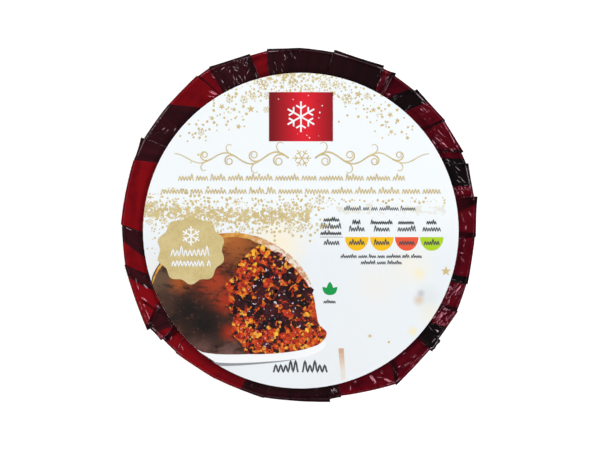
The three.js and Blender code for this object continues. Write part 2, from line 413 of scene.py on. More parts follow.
def film_outline():
    """The wrapped basin's outline as reach and height, from the middle of its base to the middle of its top."""
    lip_foot = (RIM_REACH - LIP_SLACK, LIP_FOOT - LIP_SLACK)
    lip_side = (RIM_REACH, LIP_FOOT)
    slope = math.degrees(math.atan2(lip_foot[1], lip_foot[0] - BASE_REACH))
    corner = list(bend_points(BASE_REACH - BASE_BEND, BASE_BEND, BASE_BEND, -90, slope - 90, 5))
    hollow = tuple(mix(a, b, HOLLOW_AT) for a, b in zip(corner[-1], lip_foot))
    stretches = [  # each with its number of steps
        line_points((0, 0), corner[0], 3),
        corner,
        curve_points(corner[-1], (hollow[0] - 2 * WALL_HOLLOW, hollow[1]), lip_foot, 12),
        curve_points(lip_foot, (lip_side[0], lip_foot[1]), lip_side, 4),
        line_points(lip_side, (RIM_REACH, RIM_TOP), 4),
        bend_points(RIM_REACH - RIM_BEND, RIM_TOP, RIM_BEND, 0, 90, 6),
        line_points((RIM_REACH - RIM_BEND, TOP_HEIGHT), (FINE_RINGS_END, TOP_HEIGHT), 37),
        line_points((FINE_RINGS_END, TOP_HEIGHT), (0, TOP_HEIGHT), 2),
    ]
    outline = []
    for stretch in stretches:
        outline += list(stretch)[1 if outline else 0:]
    return outline


Station = namedtuple("Station", "reach height out_reach out_height on_top pleating swelling along")


def film_stations():
    """The outline's points, with the way out of the film there, how strongly folds and the rim's swelling show,
    and how far along the film they are from the middle of the base."""
    outline = film_outline()
    along = 0
    stations = []
    for i, (reach, height) in enumerate(outline):
        before = outline[max(i - 1, 0)]
        after = outline[min(i + 1, len(outline) - 1)]
        along += math.dist(before, (reach, height))
        rise = math.dist(before, after)
        on_top = height > RIM_TOP
        up = ease(height, PLEAT_FOOT, LIP_FOOT)
        pleating = limit((reach - PLEAT_END) / (RIM_REACH - RIM_BEND - PLEAT_END)) if on_top else up
        swelling = pleating if on_top else up * up
        out = ((after[1] - before[1]) / rise, (before[0] - after[0]) / rise)
        stations.append(Station(reach, height, *out, on_top, pleating, swelling, along))
    return stations


# How far the darker tucked film and the painted shade at a fold show, at the rim and at the label's edge, as a
# share of the fold's shade; what stands for film that is nowhere near a tuck; and over how much of each end a
# thin line of painted shade fades
TUCK_SHADE_SPREAD = (0.7, 1.5)
CLEAR = 9
FOLD_SHADE_TAPER = 1.5
STREAKS = 0.5  # how much the film's depth varies in streaks

# A column of the film; tuck is how far it is from a fold, as a share of how far the tucked film and the painted
# shade at the fold show there
Column = namedtuple("Column", "at lean swell lift roll middle shift twist tuck depth crinkle gloss")


def panel_columns(fold, following):
    """The columns across one panel of film, from the fold that starts it to the fold that ends it."""
    width = following.at - fold.at - EDGE_GAP
    strips = max(PANEL_LEAST, round(PANEL_COLUMNS * width / 360 * (0.7 + fold.crinkle)))
    flatness = min(FLATTEST, RIM_REACH * (1 - math.cos(math.radians(width) / 2)) / 2)
    for strip in range(strips + 1):
        across = strip / strips
        passed = width * across
        at_edge = max(-following.step * (strip == strips), fold.step * (strip == 0)) > FLAT_FOLD
        yield Column(
            at=fold.at + passed,
            lean=mix(fold.lean, following.lean, across),
            swell=mix(fold.out, following.out, across) - 4 * flatness * across * (1 - across),
            lift=max(fold.step, 0) * (1 - across) ** 2 + max(-following.step, 0) * across ** 2,
            roll=0, middle=fold.at + width / 2, shift=fold.shift, twist=fold.twist,
            tuck=min(
                passed / fold.shade if fold.shade > 0 else CLEAR,
                (width - passed) / -following.shade if following.shade < 0 else CLEAR,
            ),
            depth=fold.depth, crinkle=fold.crinkle, gloss=EDGE_SHINE if at_edge else 1,
        )


def edge_columns(before, after, step):
    """The columns down the rolled edge between two panels, from the end of one to the start of the next."""
    height = abs(step)
    roll = EDGE_ROLL if step < 0 else [(-side, share) for side, share in reversed(EDGE_ROLL)]
    for i, (side, share) in enumerate(roll, 1):
        across = i / (len(roll) + 1)
        column = Column(*(mix(a, b, across) for a, b in zip(before, after)))
        # A fold high enough to be seen gets full painted shade along its rolled edge
        yield column._replace(
            at=before.at + EDGE_GAP * across, lift=height * share, roll=side * min(height, 1),
            tuck=0 if height > FLAT_FOLD else CLEAR, crinkle=0 if height > FLAT_FOLD else column.crinkle,
            gloss=EDGE_SHINE,
        )


def film_columns():
    followed = [*FOLDS[1:], FOLDS[0]._replace(at=FOLDS[0].at + 360)]
    panels = [list(panel_columns(fold, following)) for fold, following in zip(FOLDS, followed)]
    first = panels[0][0]
    starts = [panel[0] for panel in panels[1:]] + [first._replace(at=first.at + 360, middle=first.middle + 360)]
    columns = []
    for panel, start, following in zip(panels, starts, followed):
        columns += [*panel, *edge_columns(panel[-1], start, following.step)]
    return columns


def label_edge(angle):
    """The reach of the label's edge from the pack's axis."""
    centre = LABEL_CENTRE.xy
    ahead = centre.dot(toward(math.radians(angle)))
    return ahead + math.sqrt(LABEL_RADIUS ** 2 - (centre.length_squared - ahead ** 2))


def facets(x, y, seed):
    """Height of crumpled film at a place: flat facets between random corners, from -1 to 1."""
    column, row = math.floor(x), math.floor(y)
    over, up = x - column, y - row
    beside = (column + 1, row) if over > up else (column, row + 1)
    corners = (column, row), beside, (column + 1, row + 1)
    shares = 1 - max(over, up), abs(over - up), min(over, up)
    return sum(share * (2 * chance(*corner, seed) - 1) for share, corner in zip(shares, corners))


def cracks(x, y, seed, width):
    """Sharp creases that meet in a net: 1 on a crease, falling to 0 beside it."""
    near = noise.voronoi(Vector((x, y, seed)))[0]
    return max(0, 1 - (near[1] - near[0]) / width)


def clump(across, along):
    """How much of its creases the film has at a place: they come in clumps."""
    return ease(cloud(across * 0.14, along * 0.22, 17), -0.2, 0.25)


# How proud crumpled film stands: its facets everywhere, and its broad and small facets and cracks in a clump
EVEN_RELIEF, BROAD_RELIEF, SMALL_RELIEF, CRACK_RELIEF = 0.05, 0.12, 0.2, 0.26
CRACK_WIDTH = 0.34


def crinkle_relief(across, along, crinkle):
    """How proud the film stands at a place on it, for its creases that come by chance."""
    bent = across + 1.1 * cloud(across * 0.5, along * 0.5, 3)
    broad = facets(bent * 0.3 + along * 0.1, along * 0.22 - bent * 0.1, 11)
    small = facets(bent * 0.5 - along * 0.25, along * 0.42 + bent * 0.25, 29)
    net = cracks(bent * 0.38 + along * 0.2, along * 0.3, 5, CRACK_WIDTH)
    net *= 0.5 + 0.7 * chance(bent * 0.4, along * 0.3, 9)
    relief = BROAD_RELIEF * broad + SMALL_RELIEF * small + CRACK_RELIEF * net
    return EVEN_RELIEF * broad + crinkle * clump(across, along) * relief


# How steep the gathers' flanks are, and how proud the broad and the fine ones stand
GATHER_STEEPNESS, BROAD_GATHER, FINE_GATHER = 3.2, 0.65, 0.3


def wall_gather(angle, height):
    """How proud the film stands on the wall, where its gathers run down from the lip."""
    drift = 2.0 * cloud(height * 0.03, angle * 0.05, 21)
    ridge = 1 - abs(cloud(angle * 0.32 + drift, height * 0.012, 7)) * GATHER_STEEPNESS
    finer = 1 - abs(cloud(angle * 0.62 - drift, height * 0.016, 15)) * GATHER_STEEPNESS
    return BROAD_GATHER * max(ridge, 0) + FINE_GATHER * max(finer, 0)


def ring_place(angle, inward):
    """A place on the flat ring, round the rim and in from it."""
    return Vector((angle * DEGREE, inward * RING_WIDTH))


def ends(crease):
    return ring_place(crease.start, crease.start_in), ring_place(crease.end, crease.end_in)


def near_creases(creases, angle, inward):
    """The creases that a place on the flat ring lies on: how wide each is there, how far within it the place is
    and how far from its nearer end, and the place itself, seen from the crease's start."""
    for crease in creases:
        low, high = sorted((crease.start, crease.end))
        if low - 2 < angle < high + 2:
            start, end = ends(crease)
            run, here = end - start, ring_place(angle, inward) - start
            share = limit(here.dot(run) / run.length_squared)
            width = min(crease.width, run.length * CREASE_STOUTEST)
            within = width - (here - run * share).length
            if within > 0:
                yield width, within, min(share, 1 - share) * run.length, here


def crease_relief(angle, inward):
    """How proud the film stands for the creases that have their own place on the flat ring."""
    proud = 0
    for _, within, from_end, here in near_creases(CREASES, angle, inward):
        uneven = 1 + 0.3 * noise.noise((here * 0.7).to_3d())
        proud = max(proud, CREASE_SLOPE * uneven * within * min(1, from_end / CREASE_END))
    return proud


def stroke_sets():
    """The strokes dealt into sets, each stroke into the set where it has the most room."""
    def points(stroke):
        start, end = ends(stroke)
        return [start.lerp(end, step / 8) for step in range(9)]

    def room(stroke, laid):
        gaps = ((a - b).length for other in laid for a in points(stroke) for b in points(other))
        return min(gaps, default=math.inf)

    sets = [[] for _ in range(STROKE_SETS)]
    for stroke in STROKES:
        max(sets, key=lambda laid: room(stroke, laid)).append(stroke)
    return sets


def stroke_place(strokes, angle, inward):
    """How far aside of the nearest stroke a place on the ring lies, and how wide its flank is there."""
    place = ring_place(angle, inward)
    nearest, found = STROKE_NEAR, (STROKE_NEAR, 0, 0)
    for stroke in strokes:
        start, end = ends(stroke)
        way = (end - start).normalized()
        along, aside = way.dot(place - start), way.cross(place - start)
        inside = min(along, (end - start).length - along)
        away = math.hypot(aside, min(inside, 0))
        if away < nearest:
            nearest = away
            seen = limit(inside / STROKE_TAPER) if abs(aside) < STROKE_SEEN else 0
            found = (aside, stroke.width * seen, 0)
    return Vector(found)


def tucked_and_shaded(column, station, angle):
    """How much of the darker tucked film and the painted shade at folds shows at one station of one column."""
    inward = travelled(column.at, station)
    shade = 1 - ease(column.tuck / mix(*TUCK_SHADE_SPREAD, inward), 0.75, 1.1)
    if station.on_top:
        for width, within, from_end, _ in near_creases(FOLD_SHADE_LINES, angle, inward):
            shade = max(shade, ease(within / width, 0, 0.7) * min(1, from_end / FOLD_SHADE_TAPER))
    return shade * station.pleating


def streak(column, station):
    """How much darker the film is at a place, in faint streaks round the rim and down the wall."""
    aside = round_rim(column.at)
    across, along = (station.reach, aside) if station.on_top else (aside, station.height)
    return STREAKS * cloud(across * 0.45, along * 0.05, 41)


def travelled(angle, station):
    """How far a station of the flat ring is from the rim to the label's edge."""
    return limit((RIM_REACH - station.reach) / (RIM_REACH - label_edge(angle))) if station.on_top else 0


SIDE_CRINKLE = 0.3  # how much of its creases by chance the film shows on the lip and the wall
RAGGEDNESS = 1.6  # how unevenly a fold's edge rolls over


def film_point(column, station):
    """Where the film lies at one station of one column."""
    inward = travelled(column.at, station)
    leaning = inward if station.on_top else WALL_SWAY * (station.pleating - 1)
    angle = column.at + column.lean * leaning
    proud = crinkle_relief(round_rim(column.at), station.along, column.crinkle)
    if station.on_top:
        proud *= 0.25 * ease(inward, 0, 0.2) + 0.75 * ease(inward, 0.15, 0.75)
        proud += crease_relief(angle % 360, inward)
    else:
        proud *= SIDE_CRINKLE
        if station.height <= LIP_FOOT:
            gathered = ease(LIP_FOOT - station.height, 0, 8) * ease(station.height, 2, 22)
            proud += gathered * wall_gather(column.at, station.height)
    proud = column.lift * station.pleating + proud * station.pleating
    reach = station.reach + column.swell * station.swelling + proud * station.out_reach
    height = station.height + proud * max(station.out_height, 0)
    if station.on_top and reach < label_edge(column.at) + LABEL_LAP:
        height = min(height, FILM_UNDER_LABEL)
    ragged = 1 + RAGGEDNESS * cloud(column.middle, station.along * 0.7, 2)
    turn = math.radians(angle) + column.roll * ragged * station.pleating / RIM_REACH
    return Vector((reach * math.cos(turn), reach * math.sin(turn), height))


def sheet_place(column, station, rim_along):
    """Where a point of the film is on the flat sheet, across the stripes and along them."""
    along = min(station.along, rim_along)
    reach = RIM_REACH if station.on_top else station.reach
    gathered = min(1, reach / along) if along else 1
    shift = column.shift * (1 - gathered) / (1 - RIM_REACH / rim_along)
    at = column.at - column.twist * travelled(column.at, station)
    angle = math.radians(column.middle + shift + (at - column.middle) * gathered - STRIPE_TURN)
    return along * math.sin(angle), along * math.cos(angle)


def drawn_place(spot, angle):
    """Where a point of the ring lies across and along the fine creases there, and how deep they are."""
    for drawn in DRAWN:
        if drawn.start < angle < drawn.end:
            way = toward(math.radians(drawn.way))
            depth = drawn.depth * min(1, (angle - drawn.start) / DRAWN_TAPER, (drawn.end - angle) / DRAWN_TAPER)
            return Vector((way.cross(spot.xy), way.dot(spot.xy), depth * drawn.pitch)) / drawn.pitch
    return Vector((0, 0, 0))


def shine(column, station):
    """How strongly the film mirrors the lights at one station of one column."""
    if station.height < RIM_TOP + BEND_START or station.reach < RIM_REACH - RIM_BEND - BEND_END:
        return column.gloss
    angle = column.at % 360
    return min(column.gloss, max([RIM_DULL] + [much for start, end, much in RIM_SHINE if start < angle < end]))


def film_wrap(material):
    stations = film_stations()
    columns = film_columns()
    rim_along = next(station.along for station in stations if station.height > RIM_TOP)
    bm = bmesh.new()
    ring = bm.verts.layers.int.new("ring")
    outline = [bm.verts.new((station.reach, 0, station.height)) for station in stations]
    for number, vert in enumerate(outline):
        vert[ring] = number
    for pair in zip(outline, outline[1:]):
        bm.edges.new(pair)
    bmesh.ops.spin(
        bm, geom=bm.verts[:] + bm.edges[:], cent=(0, 0, 0), axis=(0, 0, 1), angle=math.tau, steps=len(columns),
        use_merge=True,
    )
    new_layer = bm.verts.layers.float_vector.new
    sheet, look, drawn = (new_layer(name) for name in ("sheet", "look", "drawn"))
    strokes = [(new_layer(f"stroke_{i}"), dealt) for i, dealt in enumerate(stroke_sets())]
    for vert in bm.verts:
        station = stations[vert[ring]]
        turn = math.atan2(vert.co.y, vert.co.x) / math.tau
        column = columns[round(turn * len(columns)) % len(columns)]
        vert.co = film_point(column, station)
        vert[sheet] = (*sheet_place(column, station, rim_along), shine(column, station))
        crinkle = column.crinkle * clump(round_rim(column.at), station.along) if station.on_top else 0
        angle = math.degrees(math.atan2(vert.co.y, vert.co.x)) % 360
        # The look: painted shade at folds with the darker tucked film, the film's depth, and how crinkled it is
        vert[look] = (tucked_and_shaded(column, station, angle), column.depth + streak(column, station), crinkle)
        if station.on_top:
            vert[drawn] = drawn_place(vert.co, angle)
            inward = (RIM_REACH - vert.co.xy.length) / (RIM_REACH - label_edge(angle))
            for layer, dealt in strokes:
                vert[layer] = stroke_place(dealt, angle, inward)
    bmesh.ops.remove_doubles(bm, verts=[v for v in bm.verts if v.co.xy.length < 0.01], dist=0.01)
    bmesh.ops.recalc_face_normals(bm, faces=bm.faces)
    for face in bm.faces:
        face.smooth = True
    piece = finish_piece("film_wrap", bm, material, "film", "wrap")
    piece.data.set_sharp_from_angle(angle=math.radians(SHARP_ANGLE))


def film_material():
    """Glossy red film with dark printed stripes, darker where it lies in several layers, with painted shade at
    its
    folds. Its finest creases are relief: those drawn side by side, the strokes, and a net of them where the
    film is crumpled."""
    shader = Shader("film", roughness=0.13, ior=1.9)
    where = shader.place()
    sheet = shader.attribute("sheet")
    across, _, mirrored = shader.parts(sheet)
    shade, depth, crinkle = shader.parts(shader.attribute("look"))
    is_dark = 0.0
    for low, high in DARK_STRIPES:
        within = {0: across, 1: (low + high) / 2, 2: (high - low) / 2}
        stripe = shader.add("ShaderNodeMath", within, operation="COMPARE").outputs[0]
        is_dark = shader.math("ADD", stripe, is_dark)
    right = shader.span(shader.parts(where)[0], -50 * MM, 50 * MM)
    mottled = shader.span(shader.noise(where, 260, 4), 0.3, 0.7, -0.2, 0.2)
    deep = shader.math("ADD", depth, mottled, clamp=True)
    red = shader.mix(deep, shader.mix(right, rgb(131, 13, 19), rgb(104, 12, 22)), rgb(60, 4, 16))
    # Painted shade at folds, with the darker tucked film there
    red = shader.mix(shader.times(shade, 0.97), red, rgb(18, 6, 9))
    streaks = shader.span(shader.noise(sheet, 0.35, 3), 0.3, 0.65)
    between = shader.mix(right, rgb(36, 11, 16), rgb(11, 7, 8))
    dark = shader.mix(streaks, between, shader.mix(right, rgb(58, 16, 23), rgb(13, 8, 9)))
    # Painted shade at folds on the dark stripes too
    dark = shader.mix(shade, dark, rgb(12, 6, 8))
    shader.feed("Specular Tint", shader.mix(is_dark, (1, 0.42, 0.55, 1), (1, 0.78, 0.84, 1)))
    shader.feed("Specular IOR Level", shader.times(mirrored, 0.5))

    drawn = shader.attribute("drawn")
    run = shader.vector_math("MULTIPLY", drawn, (0.7, 0.13, 0))["Vector"]
    lines = shader.span(shader.away(shader.noise(run, 1, 1, 0.5), 0.5), 0, 0.09, 1, 0)
    gathered = shader.span(shader.noise(where, 230, 2), 0.42, 0.54)
    relief = shader.bump(shader.times(lines, shader.times(shader.parts(drawn)[2], gathered)), 1, 0.18 * MM)
    flank = 0.0
    for number in range(STROKE_SETS):
        aside, width, _ = shader.parts(shader.attribute(f"stroke_{number}"))
        flank = shader.math("MAXIMUM", shader.math("SUBTRACT", width, shader.math("ABSOLUTE", aside)), flank)
    uneven = shader.span(shader.noise(where, 300, 2), 0.3, 0.7, 0.85, 1.15)
    relief = shader.bump(shader.times(flank, uneven), 1, CREASE_SLOPE * MM, relief)
    net = shader.add("ShaderNodeTexVoronoi", {"Vector": where, "Scale": 520}, feature="DISTANCE_TO_EDGE")
    fine = shader.times(shader.span(net.outputs["Distance"], 0, 0.16), shader.span(crinkle, 0.2, 0.9))
    shader.feed("Normal", shader.bump(fine, 0.7, 0.2 * MM, relief))
    return shader.coloured(shader.mix(is_dark, red, dark))


# ---- The label ----

INK = 0.03  # how thick each layer of print lies
HAIR, HAIRS = 0.002, 16  # each field of a layer lies a hair higher than the one before it, in turns of so many
SUNK = 0.04  # how deep the print's underside lies in the label
LINE_FLATNESS, LINE_LIFT = 0.12, 0.012  # height of a drawn line as a share of its breadth, and how high it lies
EDGE, TO_EDGE = 1.0, 0.03  # how far inside the label's edge a field ends, and the picture's own ends
STAR, STAR_POINT = 10, 0.42  # a star's corners, and how far every other one is drawn in

# Places and sizes on the label, from its middle
PANEL_AT, PANEL_SIZE = (0.05, 41.5), (23.3, 17.9)
PANEL_FLAKE, PANEL_DOTS, PANEL_CLEAR = 5.6, 16, 6.4  # the snowflake, and the dots that keep clear of it
TITLE_AT, TITLE_HALF, TITLE_FLAKE = (0.4, 26.4), 46.4, 3.4
TITLE_CLEAR = (12, 32, 50)  # lowest, highest and furthest aside that no glitter lies on the title
GLITTER_GAP, GLITTER_EDGE = 0.1, 0.4
STEM_START, STEM_WAVES, STEM_SWING = 4.8, 2.25, 2.3
GOLD_LINES, GOLD_LINE_HIGH = [(-44.6, 38.3, 18.2), (-50.9, 51.1, 13.4)], 1.75  # left, right and level
SEAL_AT, SEAL_RADIUS, SEAL_POINTS, SEAL_WAVE = (-40.0, -7.1), 11.9, 10, 0.055
SEAL_FLAKE, SEAL_FLAKE_UP = 3.5, 5.2
SEAL_LINES = [(7.4, -2.2, 2.5), (7.1, -5.9, 2.1)]  # half breadth, level and height
UPRIGHT = math.tau / 12  # the turn of a snowflake that has an arm straight up
BAND_LOW, BAND_MIDDLE, BAND_END, BAND_BOW = 5.2, -12.0, 8.0, 0.0012
CROWN_MIDDLE, TRACE_AT = -3.0, 7.6
FACTS_AT = [11.2, 20.4, 29.5, 38.6, 47.7]  # across, with half the breadth of the two words over each
FACT_NAMES, FACT_VALUES, FACT_BOLD = [2.9, 1.6, 4.0, 3.1, 1.9], [4.0, 2.8, 2.8, 3.3, 3.3], 1.35
SMALL_PRINT = 1.05
PILL_TOP, PILL_HALF, PILL_DEEP, PILL_LAYER = -2.35, 4.3, 5.0, 0.2
PILL_COLOURS = [(252, 196, 24), (252, 196, 24), (240, 92, 58), (178, 216, 38)]
LEAF_AT = (10.6, -20.8)
WEIGHT_AT, WEIGHT_HIGH = (-10.0, 9.7, -51.6), 2.9

PUDDING_OUTLINE = [
    (-38.2, -43.6), (-48, -32.5), (-54.6, -20), (-49.5, -9.5), (-39.5, -3), (-25.3, -0.9), (-13.5, -3.2),
    (-6.2, -8.4), (0.6, -17.4), (4.2, -26.4), (5.6, -35.6), (4.4, -42.2), (-16, -44.9),
]
CUT_OUTLINE = [
    (-14.6, -5), (-19.6, -8.6), (-23.2, -12.6), (-24.2, -16.4), (-27.4, -19.6), (-26.2, -23.6),
    (-27, -27.4), (-24.6, -31.2), (-25.4, -35.4), (-24.6, -38.2), (-21.6, -41.2), (-19.8, -44.6),
    (-12, -44.9), (-2, -43.9), (4, -42.4), (7.6, -40.6), (9.4, -37.2), (6.6, -34), (5.6, -29.6), (4.6, -24),
    (1.8, -18.2), (-1.8, -12.8), (-6.2, -8.2), (-10.4, -5.4),
]
RIM_LIGHTS = [
    [
        (-31, -1.5), (-25, -0.8), (-19, -1.4), (-13, -3.2), (-8, -6.3), (-13.2, -4.9), (-19, -3.1),
        (-25, -2.3), (-31, -3),
    ],
    [
        (-54.6, -20), (-52.6, -14.4), (-49.6, -10.2), (-50.2, -12.1), (-52.5, -15.8), (-54.1, -19.6),
    ],
    [
        (-20, -1.7), (-17.1, -2.6), (-12.2, -3.8), (-7.4, -6.3), (-3, -9.8), (0.9, -14.2), (3.7, -19.6),
        (1.1, -17.5), (-2.2, -13.6), (-6.1, -10.3), (-10.3, -7.4), (-14.1, -5.2), (-17.2, -4),
    ],
]
PLATE_OUTLINE = [
    (-40, -42), (-36.5, -47.6), (-28, -48.6), (-8, -47.4), (3, -45.6), (8.4, -42.6), (6, -40), (-20, -40),
]
PLATE_SHADOW = [
    (-37.6, -46.4), (-33, -48.9), (-24, -49.2), (-10, -48.1), (-2, -46.9), (-10, -47.6), (-24, -48.3),
    (-33, -47.7),
]
STICK_OUTLINE = [(13.7, -42.9), (15.6, -42.9), (16.7, -55.2), (14.9, -55.2)]
LEAF_OUTLINE = [(0, 0), (-0.9, 1.1), (-1.0, 2.4), (0, 4.1), (1.0, 2.4), (0.9, 1.1)]


def smoothed(points, steps=8):
    """A closed outline that runs smoothly through the points."""
    count = len(points)
    for i in range(count):
        a, b, c, d = (Vector(points[(i + k) % count]) for k in (-1, 0, 1, 2))
        for step in range(steps):
            t = step / steps
            squared, cubed = 2 * a - 5 * b + 4 * c - d, 3 * b - a - 3 * c + d
            yield 0.5 * (2 * b + (c - a) * t + squared * t ** 2 + cubed * t ** 3)


def is_inside(place, outline):
    """Whether a place lies within a closed outline."""
    x, y = place
    crossed = False
    for (ax, ay), (bx, by) in zip(outline, outline[1:] + outline[:1]):
        if (ay > y) != (by > y) and x < ax + (bx - ax) * (y - ay) / (by - ay):
            crossed = not crossed
    return crossed


def add_field(bm, outline, kept=EDGE):
    """A flat field of colour inside an outline, cut off at the label's edge."""
    reach = LABEL_RADIUS - kept
    places = (Vector(place) for place in outline)
    inside = (place.normalized() * reach if place.length > reach else place for place in places)
    bm.faces.new([bm.verts.new((*place, 0)) for place in inside])


def set_down(place, turn):
    """What sets a shape down at a place on the label, turned."""
    return Matrix.Translation((*place, 0)) @ Matrix.Rotation(turn, 4, "Z")


def circle(bm, radius, sides):
    upright = Matrix.Identity(4)
    return bmesh.ops.create_circle(bm, cap_ends=True, segments=sides, radius=radius, matrix=upright)["verts"]


def add_disc(bm, place, radius, sides, inner=1.0, turn=0.0, tall=1.0):
    """A round dot, or a star where every other corner is drawn in."""
    at = set_down(place, turn)
    verts = circle(bm, radius, sides)
    for number, vert in enumerate(verts):
        vert.co *= inner if number % 2 else 1
        vert.co.y *= tall
        vert.co = at @ vert.co
    return verts


def add_blob(bm, place, radius, draw, uneven, tall, sides=18):
    """An uneven round field, such as a raisin or a glint."""
    seed = Vector((draw.uniform(0, 900), 0, 0))
    at = set_down(place, draw.uniform(0, math.tau)) @ Matrix.Diagonal((1, tall, 1, 1))
    for vert in circle(bm, radius, sides):
        vert.co *= 1 + uneven * cloud(*vert.co * (1.5 / radius) + seed)
        vert.co = at @ vert.co


def add_bar(bm, place, size, turn=0.0):
    at = set_down(place, turn) @ Matrix.Diagonal((*size, 1, 1))
    bmesh.ops.create_grid(bm, x_segments=1, y_segments=1, size=0.5, matrix=at)


def add_snowflake(bm, place, radius, turn=0.0, width=0.11):
    """Three bars that cross, with a pair of twigs near each of their ends."""
    width *= radius
    sixth = math.tau / 6
    for arm in range(3):
        add_bar(bm, place, (radius * 2, width), turn + arm * sixth)
    for arm in range(6):
        angle = turn + arm * sixth
        for twig in (angle - sixth, angle + sixth):
            middle = Vector(place) + toward(angle) * radius * 0.55 + toward(twig) * radius * 0.18
            add_bar(bm, middle, (radius * 0.36, width), twig)


def on_label(name, bm, material, lift):
    """Moves print from its own level to the label's and finishes it."""
    bmesh.ops.translate(bm, vec=(*LABEL_CENTRE.xy, label_high.z + lift), verts=bm.verts)
    bmesh.ops.recalc_face_normals(bm, faces=bm.faces)
    return finish_piece(name, bm, material, "label_paper")


def printed(name, bm, material, layer):
    """Gives flat fields the thickness of ink and lays them on the label."""
    flat = bm.faces[:]
    for number, face in enumerate(flat):
        if face.normal.z < 0:
            face.normal_flip()
        for vert in face.verts:
            vert.co.z += HAIR * (number % HAIRS)
    raised = bmesh.ops.extrude_face_region(bm, geom=flat, use_keep_orig=True)["geom"]
    tops = [part for part in raised if isinstance(part, bmesh.types.BMVert)]
    bmesh.ops.translate(bm, vec=(0, 0, INK * layer + SUNK), verts=tops)
    on_label(name, bm, material, -SUNK)


def stamped(name, material, layer, add, *shape):
    """A piece of print that is a single shape."""
    bm = bmesh.new()
    add(bm, *shape)
    printed(name, bm, material, layer)


def line_work(name, strokes, half_width, material):
    """Drawn lines, each a run of points with how broad the line is there."""
    data = bpy.data.curves.new(name, "CURVE")
    data.dimensions = "3D"
    data.bevel_depth = half_width
    data.bevel_resolution = 1
    data.use_fill_caps = True
    for points in strokes:
        spline = data.splines.new("POLY")
        spline.points.add(len(points) - 1)
        for point, (x, y, weight) in zip(spline.points, points):
            point.co = (x, y, 0, 1)
            point.radius = weight
    wire = bpy.data.objects.new(name, data)
    mesh = bpy.data.meshes.new_from_object(wire)
    bm = bmesh.new()
    bm.from_mesh(mesh)
    bpy.data.objects.remove(wire)
    bpy.data.curves.remove(data)
    bpy.data.meshes.remove(mesh)
    bmesh.ops.remove_doubles(bm, verts=bm.verts, dist=1e-5)
    bmesh.ops.scale(bm, vec=(1, 1, LINE_FLATNESS), verts=bm.verts)
    return on_label(name, bm, material, LINE_LIFT)


# Scribble: how long a wave and the gap after a word are, how tall a tall wave is and how many of them are tall
WAVE_LENGTH, WORD_GAP, TALL_WAVE, TALL_SHARE = 0.62, 0.9, 1.5, 0.22


def scribble(left, right, level, height, draw, words=(3, 9), bold=1.0):
    """Waved lines in word-like lengths, in the place of small print."""
    wave = height * WAVE_LENGTH
    while left < right - wave:
        waves = min(draw.randint(*words), int((right - left) / wave))
        stroke = []
        for number in range(waves):
            tall = TALL_WAVE if draw.random() < TALL_SHARE else draw.uniform(0.85, 1.05)
            for step in range(6):
                up = 0.5 - 0.5 * math.cos(math.tau * step / 6)
                stroke.append((left + wave * (number + step / 6), level + height * up * tall, bold))
        stroke.append((left + wave * waves, level, bold))
        yield stroke
        left += wave * (waves + WORD_GAP)


TENDRIL_STEPS, STEM_STEPS = 44, 110
SHRINK = 0.3  # how much smaller the scrollwork gets towards its ends
FINE_END = 0.45  # how much finer its stem gets
LARGE_CURL, SMALL_CURL = (15.5, 9.6), (6.2, 3.6)  # length of a curl and the angle that it turns


def tendril(start, heading, length, curl, weight=1.0):
    """A line that curls up ever more tightly, by an angle in all."""
    x, y = start
    for step in range(TENDRIL_STEPS + 1):
        share = step / TENDRIL_STEPS
        yield x, y, weight * (1 - 0.5 * share)
        ahead = heading + curl * (0.3 * share + 0.7 * share ** 2)
        x += math.cos(ahead) * length / TENDRIL_STEPS
        y += math.sin(ahead) * length / TENDRIL_STEPS


def flourish():
    """Scrollwork in the place of a title: a waved stem to each side, with a curl in every hollow of it."""
    def stem(share):
        swing = STEM_SWING * (1 - SHRINK * share)
        return STEM_START + (TITLE_HALF - STEM_START) * share, swing * math.sin(share * STEM_WAVES * math.tau)

    def curl(share, size, length, turned, aside=0.0, weight=1.0):
        (ax, ay), (bx, by) = stem(share - 0.002), stem(share + 0.002)
        return list(tendril(stem(share), math.atan2(by - ay, bx - ax) + aside, length * size, turned, weight))

    strokes = [[(*stem(step / STEM_STEPS), 1 - FINE_END * step / STEM_STEPS) for step in range(STEM_STEPS + 1)]]
    hollows = round(STEM_WAVES * 2)
    for number in range(hollows):
        share = number / (STEM_WAVES * 2)
        side = -1 if number % 2 == 0 else 1
        size = 1 - SHRINK * share
        strokes.append(curl(share + 0.012, size, LARGE_CURL[0], side * LARGE_CURL[1]))
        crest = share + 0.3 / hollows
        strokes.append(curl(crest, size, SMALL_CURL[0], -side * SMALL_CURL[1], -side * 0.35, 0.75))
    strokes += [[(-x, y, weight) for x, y, weight in stroke] for stroke in strokes]
    return [[(x + TITLE_AT[0], y + TITLE_AT[1], weight) for x, y, weight in stroke] for stroke in strokes]


# How the label's print shines, and the fruit in its picture
PRINT = {"roughness": 0.4, "coat_weight": 0.15, "coat_roughness": 0.3}
GLOSSY_PRINT = {"roughness": 0.35, "coat_weight": 0.2, "coat_roughness": 0.2}


def ink(name, colour, mottle=0.06):
    """Printed ink with a faint unevenness."""
    shader = Shader(name, **PRINT)
    darker = (*(c * (1 - 2 * mottle) for c in colour[:3]), 1)
    return shader.coloured(shader.effect(TWO_TONES, shader.place(), 900, 2, 0, 1, darker, colour))


def gold_ink():
    shader = Shader("gold_ink", roughness=0.38)
    return shader.coloured(shader.effect(GOLD, shader.place()))


